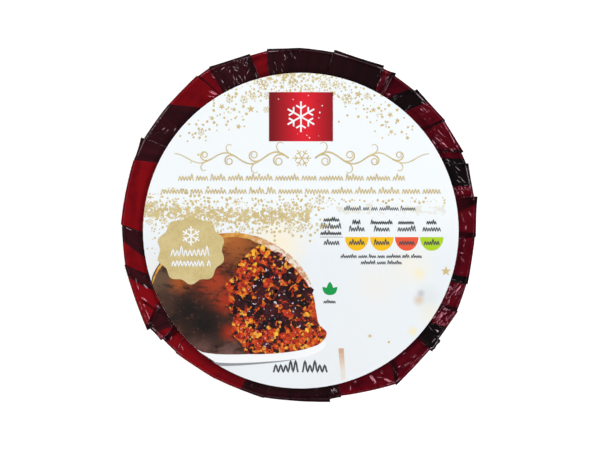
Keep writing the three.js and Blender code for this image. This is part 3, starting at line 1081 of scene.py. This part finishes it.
def gold_spray(shader, x, y, flat):
    """Masks of the gold that is sprayed over the label: where it covers, and where a pale trace of it lies."""
    span, times = shader.span, shader.times

    def dots(size, amount):
        """Round dots, so many to a length, of which so many are kept."""
        cells = shader.add("ShaderNodeTexVoronoi", {"Vector": flat, "Scale": size}, voronoi_dimensions="2D")
        chosen, wide, _ = shader.add("ShaderNodeSeparateColor", {0: cells.outputs["Color"]}).outputs
        round_dot = shader.math("LESS_THAN", cells.outputs["Distance"], span(wide, 0, 1, 0.16, 0.36))
        return times(round_dot, shader.math("LESS_THAN", chosen, amount))

    def blotches(size, density):
        """Blotches with ragged edges, that run together where they are dense."""
        cloudy = shader.noise(flat, size, 5, 0.78)
        return span(shader.math("ADD", cloudy, times(density, 0.4)), 0.83, 0.845)

    # The band across the label
    bowed = times(shader.math("POWER", shader.math("SUBTRACT", x, BAND_MIDDLE), 2), BAND_BOW)
    aside = shader.away(shader.math("SUBTRACT", y, bowed), BAND_LOW)
    band = times(span(aside, 7, 1.5, 0, 0.94), span(x, BAND_END, BAND_END - 5))
    band_dots = times(span(aside, 10.5, 3, 0, 0.75), span(x, BAND_END + 4, BAND_END - 2))

    # The crown under its top edge
    in_from_edge = shader.math("SUBTRACT", LABEL_RADIUS, shader.vector_math("LENGTH", flat)["Value"])
    off_middle = shader.away(x, CROWN_MIDDLE)
    above = span(y, 20, 32)
    crown = times(span(in_from_edge, 9.5, 1, 0, 0.78), span(off_middle, 34, 14), above)
    crown_dots = times(span(in_from_edge, 13, 2, 0, 0.5), span(off_middle, 42, 16), above)

    holes = shader.math("SUBTRACT", 1.0, dots(0.44, 0.34))
    covered = shader.math("MAXIMUM", times(blotches(0.62, band), holes), blotches(0.75, crown))
    sprinkled = shader.math("MAXIMUM", dots(0.62, band_dots), dots(0.75, crown_dots))
    trace = times(span(shader.away(y, TRACE_AT), 5.5, 1, 0, 0.85), span(x, 5, 14), span(x, 57, 52))
    return shader.math("MAXIMUM", covered, sprinkled), blotches(0.34, trace)


# Soft lights far out of focus on the label's lower half: place, radius, colour and strength
GLOWS = [
    ((-8, -5), 12, (254, 242, 214), 0.85), ((-52, -14), 9, (240, 238, 232), 0.6),
    ((40, -13), 10, (250, 244, 226), 0.6), ((43.2, -15.7), 3, (252, 238, 190), 0.6),
    ((27, -20), 11, (248, 243, 232), 0.5), ((22, -36), 20, (238, 242, 245), 0.6),
    ((46.4, -24.5), 6.5, (226, 231, 233), 0.8), ((43, -25.3), 2.6, (216, 182, 142), 0.6),
    ((43.8, -22.8), 1.8, (168, 168, 172), 0.55), ((47, -30.5), 6, (243, 239, 222), 0.6),
    ((40.9, -36.7), 2.2, (252, 234, 170), 0.7), ((10, -50), 16, (236, 239, 242), 0.6),
    ((-30, -50), 12, (228, 232, 238), 0.5),
]


def label_stock():
    """Cool white coated paper with sprayed gold, shading to a softly lit table in its lower half."""
    shader = Shader("label_stock", **{**PRINT, "roughness": 0.45})
    where = shader.place()
    flat = shader.vector_math("MULTIPLY_ADD", where, (1 / MM, 1 / MM, 0), (*-LABEL_CENTRE.xy, 0))["Vector"]
    x, y, _ = shader.parts(flat)
    tone = shader.mix(shader.span(y, 10, -10), rgb(246, 251, 254), rgb(237, 242, 246))
    for place, radius, colour, amount in GLOWS:
        tone = shader.mix(soft_spot(shader, where, place, radius, amount), tone, rgb(*colour))
    covered, trace = gold_spray(shader, x, y, flat)
    gold = shader.effect(GOLD, where)
    tone = shader.mix(shader.times(trace, 0.32), tone, gold)
    shader.feed("Normal", shader.bump(shader.noise(where, 1500, 2), 0.04, 0.2 * MM))
    return shader.coloured(shader.mix(covered, tone, gold))


def soft_spot(shader, where, place, radius, amount):
    """A mask that fades from the middle of a spot on the label to its rim."""
    centre = ((place[0] + LABEL_CENTRE.x) * MM, (place[1] + LABEL_CENTRE.y) * MM, label_high.z * MM)
    return shader.effect(SOFT_SPOT, where, centre, radius * MM, amount)


def red_panel_ink():
    """Red that is bright in the middle of the panel and dark at its sides."""
    shader = Shader("red_panel_ink", roughness=0.4, coat_weight=0.2, coat_roughness=0.25)
    aside = shader.away(shader.parts(shader.place())[0], (LABEL_CENTRE.x + 1.5) * MM)
    edge = shader.span(aside, 1 * MM, PANEL_SIZE[0] / 2 * MM)
    return shader.coloured(shader.mix(edge, rgb(228, 28, 46), rgb(124, 14, 24)))


# Light on the picture's dark skin, and what is darker than the rest of it, given as the soft lights are
SKIN_LIGHTS = [
    ((-24, -4), 13, (168, 92, 42), 1), ((-30, -1), 9, (190, 124, 56), 1),
    ((-52, -18), 12, (104, 78, 58), 1), ((-49, -26), 9, (70, 46, 36), 1),
    ((-31, -19), 12, (178, 62, 28), 0.8), ((-27, -26), 7, (170, 48, 20), 0.9),
    ((-26, -37), 5, (168, 46, 20), 0.9), ((-44, -19), 6, (170, 84, 34), 0.9),
    ((-36, -43), 9, (100, 68, 62), 1), ((-26, -46), 8, (118, 84, 78), 1), ((-41, -29), 10, (27, 16, 15), 1),
    ((-35, -34), 11, (21, 13, 13), 1),
]


def pudding_skin_ink():
    """The picture's dark steamed outside, with warm light on it."""
    shader = Shader("pudding_skin_ink", **PRINT)
    where = shader.place()
    level = shader.vector_math("MULTIPLY", where, (0.7, 1.5, 1))["Vector"]
    cloudy = shader.noise(level, 230, 7, 0.72, Distortion=0.6)
    tone = shader.mix(shader.span(cloudy, 0.35, 0.68), rgb(33, 20, 17), rgb(78, 46, 34))
    for place, radius, colour, amount in SKIN_LIGHTS:
        spot = soft_spot(shader, where, place, radius, amount)
        patchy = shader.span(shader.math("ADD", cloudy, shader.times(spot, 0.25)), 0.5, 0.68)
        tone = shader.mix(shader.times(spot, patchy), tone, rgb(*colour))
    flecks = shader.span(shader.noise(where, 700, 4, 0.6), 0.58, 0.72, 0, 0.32)
    return shader.coloured(shader.mix(flecks, tone, rgb(146, 92, 60)))


def rim_light_ink():
    """Light along the pudding's edge in the picture: golden, and creamy over the cut face."""
    shader = Shader("rim_light_ink", **PRINT)
    where = shader.place()
    golden = shader.effect(TWO_TONES, where, 420, 4, 0.35, 0.65, rgb(196, 118, 42), rgb(232, 184, 96))
    creamy = shader.effect(TWO_TONES, where, 620, 5, 0.42, 0.58, rgb(206, 150, 104), rgb(240, 228, 214))
    return shader.coloured(shader.mix(shader.span(shader.parts(where)[0], -19 * MM, -10 * MM), golden, creamy))


CRUMB_TONES = [
    (214, 84, 26), (166, 40, 18), (232, 124, 34), (104, 30, 22), (208, 66, 26), (244, 172, 66),
    (50, 20, 20), (212, 88, 30), (184, 48, 22),
]


def cut_face_ink():
    """The picture's cut face: moist orange crumb, each small field of it in a tone of its own."""
    shader = Shader("cut_face_ink", **PRINT)
    where = shader.place()
    drift = shader.add("ShaderNodeTexNoise", {"Vector": where, "Scale": 420}).outputs["Color"]
    warped = shader.vector_math("MULTIPLY_ADD", drift, (1.1 * MM, 1.1 * MM, 0), where)["Vector"]
    cells = shader.add("ShaderNodeTexVoronoi", {"Vector": warped, "Scale": 980})
    pick = shader.add("ShaderNodeSeparateColor", {0: cells.outputs["Color"]}).outputs[0]
    ramp = shader.add("ShaderNodeValToRGB", {0: pick})
    ramp.color_ramp.interpolation = "CONSTANT"
    elements = ramp.color_ramp.elements
    elements.remove(elements[1])
    elements[0].color = rgb(*CRUMB_TONES[0])
    for number, tone in enumerate(CRUMB_TONES[1:], 1):
        elements.new(number / len(CRUMB_TONES)).color = rgb(*tone)
    fine = shader.span(shader.noise(where, 1500, 4, 0.7), 0.32, 0.66, 0.3, 1.35)
    shaded = shader.add("ShaderNodeVectorMath", {0: ramp.outputs[0], 3: fine}, operation="SCALE")
    return shader.coloured(shaded.outputs["Vector"])


def raisin_ink():
    """Dark wrinkled fruit in the picture."""
    shader = Shader("raisin_ink", **GLOSSY_PRINT)
    where = shader.place()
    wrinkles = shader.span(shader.noise(where, 620, 4, 0.7, Distortion=1.2), 0.56, 0.66)
    tone = shader.effect(TWO_TONES, where, 190, 2, 0.4, 0.6, rgb(22, 12, 16), rgb(62, 22, 28))
    return shader.coloured(shader.mix(wrinkles, tone, rgb(112, 52, 56)))


def two_tone_ink(name, one, other, scale):
    """Ink in two tones that run into each other."""
    shader = Shader(name, **GLOSSY_PRINT)
    return shader.coloured(shader.effect(TWO_TONES, shader.place(), scale, 3, 0.4, 0.6, one, other))


def stick_ink():
    """A stick far out of focus that pales towards the label's edge."""
    shader = Shader("stick_ink", roughness=0.45)
    where = shader.place()
    down = shader.span(shader.parts(where)[1], -46.5 * MM, -53.5 * MM)
    wood = shader.effect(TWO_TONES, where, 300, 2, 0.3, 0.7, rgb(206, 160, 128), rgb(220, 184, 156))
    return shader.coloured(shader.mix(down, wood, rgb(232, 228, 218)))


def cut_face_fruit(draw):
    """The fruit in the picture's cut face: raisins, bits of peel and cherry, and glints of light on them."""
    outline = [tuple(place) for place in smoothed(CUT_OUTLINE)]
    raisins, peel, cherry, glints = (bmesh.new() for _ in range(4))
    laid = []

    def scatter(count, sizes, apart, middle, spread):
        made = 0
        for _ in range(count * 60):
            place = Vector((draw.gauss(middle[0], spread[0]), draw.gauss(middle[1], spread[1])))
            radius = draw.uniform(*sizes)
            ring = [place + toward(corner) * radius for corner in range(6)]
            clear = all((place - other).length > (radius + size) * apart for other, size in laid)
            if clear and all(is_inside(corner, outline) for corner in ring):
                laid.append((place, radius))
                yield place, radius
                made += 1
                if made == count:
                    return

    for place, radius in scatter(22, (1.9, 3.4), 0.6, (-6, -20.5), (6, 8.5)):
        add_blob(raisins, place, radius, draw, uneven=1.1, tall=draw.uniform(0.5, 0.9))
        for _ in range(draw.choice((1, 2, 3, 3))):
            off = Vector((draw.uniform(-0.6, 0.6), draw.uniform(-0.4, 0.4))) * radius
            add_blob(glints, place + off, draw.uniform(0.2, 0.55), draw, 0.8, draw.uniform(0.25, 0.6), 8)
    for place, radius in scatter(52, (0.6, 1.5), 0.6, (-7, -22.5), (8.5, 10.5)):
        add_blob(raisins, place, radius, draw, uneven=1.3, tall=draw.uniform(0.4, 0.9))
    for place, radius in scatter(11, (0.7, 1.3), 0.9, (-10, -24), (9, 10)):
        add_blob(peel, place, radius, draw, uneven=0.5, tall=draw.uniform(0.5, 0.9))
    for place, radius in scatter(34, (0.7, 1.9), 0.7, (-8, -28), (11, 11)):
        add_blob(cherry, place, radius, draw, uneven=0.9, tall=draw.uniform(0.4, 0.9))
        add_blob(glints, place, draw.uniform(0.12, 0.3), draw, 0.8, draw.uniform(0.3, 0.8), 8)
    printed("raisins_picture", raisins, raisin_ink(), 4)
    printed("peel_picture", peel, two_tone_ink("peel_ink", rgb(238, 132, 30), rgb(250, 200, 62), 500), 5)
    printed("cherry_picture", cherry, two_tone_ink("cherry_ink", rgb(148, 26, 22), rgb(222, 74, 36), 600), 5)
    printed("glints_picture", glints, ink("glint_ink", rgb(222, 206, 222), mottle=0.12), 6)


def glitter(draw):
    """Gold dots, stars and snowflakes round the band across the label and under its top edge. They keep
    clear of each other and of the title."""
    bm = bmesh.new()
    laid = []

    def scatter(count, place, sizes, kind):
        made = 0
        while made < count:
            x, y = place()
            radius = draw.uniform(*sizes)
            over_title = TITLE_CLEAR[0] < y < TITLE_CLEAR[1] and abs(x) < TITLE_CLEAR[2]
            taken = any(math.hypot(x - a, y - b) < radius + other + GLITTER_GAP for a, b, other in laid)
            if math.hypot(x, y) + radius > LABEL_RADIUS - GLITTER_EDGE or over_title or taken:
                continue
            laid.append((x, y, radius))
            turn = draw.uniform(0, math.tau)
            if kind == "snowflake":
                add_snowflake(bm, (x, y), radius, turn)
            elif kind == "star":
                add_disc(bm, (x, y), radius, STAR, STAR_POINT, turn)
            else:
                add_disc(bm, (x, y), radius, sides=draw.choice((7, 8, 9)), turn=turn, tall=draw.uniform(0.8, 1))
            made += 1

    def band():
        x = draw.uniform(-56, 10)
        return x, BAND_LOW + BAND_BOW * (x - BAND_MIDDLE) ** 2 + draw.choice((-1, 1)) * draw.uniform(2.0, 6.5)

    def right_of_band():
        return draw.uniform(6, 53), draw.gauss(11.0, 0.6)

    def by_the_seal():
        x = draw.uniform(-56, -46)
        return x, draw.uniform(-13, 4)

    def crown():
        x = draw.gauss(-2, 13)
        return x, 56.0 - abs(draw.gauss(0, 3.2)) - 0.012 * x * x

    def shoulders():
        x = draw.choice((-1, 1)) * draw.uniform(13.5, 41)
        return x, math.sqrt(LABEL_RADIUS ** 2 - x * x) - 1.5 - abs(draw.gauss(0, 7))

    for row in (
        (18, band, (1.1, 2.0), "snowflake"), (14, crown, (1.3, 2.4), "snowflake"),
        (16, band, (0.6, 0.9), "star"), (12, crown, (0.8, 1.3), "star"), (9, shoulders, (0.9, 1.5), "star"),
        (150, band, (0.18, 0.5), "dot"), (60, crown, (0.2, 0.5), "dot"), (54, shoulders, (0.25, 0.6), "dot"),
        (40, right_of_band, (0.15, 0.55), "dot"), (34, by_the_seal, (0.15, 0.45), "dot"),
    ):
        scatter(*row)
    add_disc(bm, (52.9, -14.8), 1.9, STAR, STAR_POINT)
    add_disc(bm, (25.2, -38.4), 0.6, 8)
    add_disc(bm, (32.1, -40.6), 0.5, 8)
    return bm


def label_picture(draw):
    """The picture of a cut pudding on a white plate."""
    for name, material, layer, outline, kept in (
        ("plate_picture", ink("plate_ink", rgb(249, 251, 253), 0.01), 1, PLATE_OUTLINE, TO_EDGE),
        ("plate_shadow", ink("shadow_ink", rgb(150, 152, 158)), 2, PLATE_SHADOW, TO_EDGE),
        ("pudding_picture", pudding_skin_ink(), 2, PUDDING_OUTLINE, TO_EDGE),
        ("cut_face_picture", cut_face_ink(), 3, CUT_OUTLINE, EDGE),
    ):
        stamped(name, material, layer, add_field, smoothed(outline), kept)
    bm = bmesh.new()
    for outline in RIM_LIGHTS:
        add_field(bm, smoothed(outline), TO_EDGE)
    printed("rim_light_picture", bm, rim_light_ink(), 3)
    cut_face_fruit(draw)
    stamped("stick_picture", stick_ink(), 1, add_field, STICK_OUTLINE)


def label_seal(draw, gold, white):
    """A gold seal with a waved edge, and on it a snowflake over two lines of scribble."""
    bm = bmesh.new()
    centre = Vector((*SEAL_AT, 0))
    sides = SEAL_POINTS * 12
    for number, vert in enumerate(add_disc(bm, SEAL_AT, SEAL_RADIUS, sides=sides)):
        wave = SEAL_WAVE * math.cos(number / sides * SEAL_POINTS * math.tau)
        vert.co = centre + (vert.co - centre) * (1 + wave)
    printed("gold_seal", bm, gold, 4)
    x, y = SEAL_AT
    stamped("seal_snowflake", white, 5, add_snowflake, (x, y + SEAL_FLAKE_UP), SEAL_FLAKE, UPRIGHT, 0.15)
    strokes = []
    for half, level, high in SEAL_LINES:
        strokes += scribble(x - half, x + half, y + level, high, draw, (9, 9))
    seal_lines = line_work("seal_lines", strokes, 0.27, white)
    for vert in seal_lines.data.vertices:
        vert.co.z += INK * 4 * MM


def label_facts(draw, grey):
    """The table of coloured pills, with scribbles in the place of its words."""
    def words(x, half, level, high, waves=12, bold=FACT_BOLD):
        return scribble(x - half, x + half, level, high, draw, (waves, waves), bold)

    first = FACTS_AT[0]
    strokes = list(scribble(15.7, 42.9, 7.3, 1.25, draw))
    for x, name_half, value_half in zip(FACTS_AT, FACT_NAMES, FACT_VALUES):
        low = 3.3 if x == first else 2.3
        strokes += words(x, name_half, low, 1.15)
        strokes += words(x, value_half, low - 2.6, 1.5)
        strokes += words(x, 2.8, PILL_TOP - 2.9, 1.5)
    strokes += words(first, 4, -1.6, 1.1)
    strokes += scribble(14.5, 44.3, -10, SMALL_PRINT, draw)
    strokes += scribble(21.9, 37.2, -12.3, SMALL_PRINT, draw)
    strokes += words(LEAF_AT[0], 2.3, LEAF_AT[1] - 5.7, 1, 9, 1)
    strokes.append([(first - 4.2, PILL_TOP, 0.6), (first + 4.2, PILL_TOP, 0.6)])
    line_work("grey_lines", strokes, 0.14, grey)
    line_work("weight_line", list(scribble(*WEIGHT_AT, WEIGHT_HIGH, draw, (3, 5))), 0.32, grey)
    for number, (x, colour) in enumerate(zip(FACTS_AT[1:], PILL_COLOURS), 1):
        bm = bmesh.new()
        for vert in add_disc(bm, (x, 0), PILL_HALF, sides=40):
            vert.co.y = PILL_TOP + min(vert.co.y, 0) * PILL_DEEP / PILL_HALF
        printed(f"fact_pill_{number}", bm, ink(f"pill_ink_{number}", rgb(*colour), 0.02), PILL_LAYER)


def label_print():
    draw = random.Random(25)
    gold = gold_ink()
    grey = ink("grey_ink", rgb(74, 78, 84))
    white = ink("white_ink", rgb(248, 250, 252), mottle=0.01)
    printed("gold_glitter", glitter(draw), gold, 1)
    label_picture(draw)
    label_seal(random.Random(4), gold, white)
    stamped("red_panel", red_panel_ink(), 2, add_bar, PANEL_AT, PANEL_SIZE)
    bm = bmesh.new()
    add_snowflake(bm, PANEL_AT, PANEL_FLAKE, UPRIGHT)
    for _ in range(PANEL_DOTS):
        place = (PANEL_AT[0] + draw.uniform(-10.5, 10.5), PANEL_AT[1] + draw.uniform(-8, 8))
        if math.dist(place, PANEL_AT) > PANEL_CLEAR:
            add_disc(bm, place, draw.uniform(0.12, 0.4), sides=8, inner=draw.choice((0.4, 1)))
    printed("panel_snowflake", bm, white, 3)
    line_work("gold_flourish", flourish(), 0.31, gold)
    stamped("title_snowflake", gold, 1, add_snowflake, TITLE_AT, TITLE_FLAKE)
    strokes = [stroke for place in GOLD_LINES for stroke in scribble(*place, GOLD_LINE_HIGH, draw)]
    line_work("gold_lines", strokes, 0.2, gold)
    label_facts(draw, grey)
    bm = bmesh.new()
    for turn, size in (0.75, 0.95), (0.0, 1.15), (-0.75, 0.95):
        spun = [Matrix.Rotation(turn, 2) @ (Vector(corner) * size) for corner in LEAF_OUTLINE]
        add_field(bm, smoothed([(c.x + LEAF_AT[0], c.y + LEAF_AT[1] - 2.6) for c in spun], 5))
    printed("green_leaf", bm, ink("green_ink", rgb(22, 160, 78)), 1)


# ---- Studio ----

def studio_floor():
    shader = Shader(
        "studio_floor", roughness=0.9, base_color=rgb(250, 250, 250), emission_color=(1, 1, 1, 1),
        emission_strength=0.4,
    )
    bm = bmesh.new()
    bmesh.ops.create_grid(bm, x_segments=1, y_segments=1, size=3)
    floor = mesh_object("studio_floor", bm, shader.material)
    floor.visible_glossy = False  # as if dark cards stood round the pudding
    floor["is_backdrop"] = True


# The lights round the pudding: name, azimuth, elevation and power
SOFTBOXES = [
    ("left", 180, 42, 1.9), ("upper_left", 125, 40, 3.1), ("upper_right", 62, 40, 3.6),
    ("right", 18, 42, 3.6), ("lower_right", 310, 38, 4.6), ("lower_left", 240, 38, 3.5),
]
SOFTBOX_SIZE, SOFTBOX_DISTANCE = (0.85, 0.24), 1.1
SOFTBOX_AIM = 0.05  # height of the place that they face


def softbox(name, azimuth, elevation, watts):
    """A soft light that faces the pudding."""
    name += "_softbox"
    light = bpy.data.lights.new(name, "AREA")
    light.shape = "RECTANGLE"
    light.size, light.size_y = SOFTBOX_SIZE
    light.energy = watts
    lamp = add_object(name, light)
    turn, rise = math.radians(azimuth), math.radians(elevation)
    way = Vector((math.cos(turn) * math.cos(rise), math.sin(turn) * math.cos(rise), math.sin(rise)))
    lamp.location = way * SOFTBOX_DISTANCE + Vector((0, 0, SOFTBOX_AIM))
    lamp.rotation_euler = way.to_track_quat("Z", "Y").to_euler()


FLOOR_LIGHTS = 8  # how many bright places on the floor the film's wall mirrors


def studio_world():
    """Dim light from above, and bright places all round on the floor."""
    world = bpy.data.worlds.new("studio")
    bpy.context.scene.world = world
    world.use_nodes = True
    wiring = Wiring(world.node_tree)
    x, y, z = wiring.parts(wiring.add("ShaderNodeTexCoord").outputs["Generated"])
    fade = wiring.span(z, 0.3, 0.85, 0.06, 0.03)
    wave = wiring.math("SINE", wiring.times(wiring.math("ARCTAN2", y, x), FLOOR_LIGHTS))
    lights = wiring.span(wave, 0.2, 1, 0.05, 0.45)
    strength = wiring.add("ShaderNodeMix", {0: wiring.span(z, -0.02, -0.15), 2: fade, 3: lights})
    background = wiring.nodes["Background"]
    background.inputs["Color"].default_value = (1, 1, 1, 1)
    wiring.links.new(strength.outputs[0], background.inputs["Strength"])


CAMERA_HEIGHT = 1.3
FRAME_WIDTH = 218.64 * MM  # what the view spans at the label's height


def camera():
    data = bpy.data.cameras.new("camera")
    data.sensor_width = 36
    data.lens = data.sensor_width * (CAMERA_HEIGHT - LABEL_CENTRE.z * MM) / FRAME_WIDTH
    data.clip_end = 20
    eye = add_object("camera", data)
    eye.location = (0.1 * MM, 0, CAMERA_HEIGHT)  # a hair off the axis
    bpy.context.scene.camera = eye


film_wrap(film_material())
label_print()
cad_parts["label"].data.materials.clear()
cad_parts["label"].data.materials.append(label_stock())
studio_floor()
for row in SOFTBOXES:
    softbox(*row)
studio_world()
camera()
bpy.context.scene.view_settings.view_transform = "Standard"

boxes = {"cad": cad_box, "visual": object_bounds()}
{name: [list(corner) for corner in box] for name, box in boxes.items()}
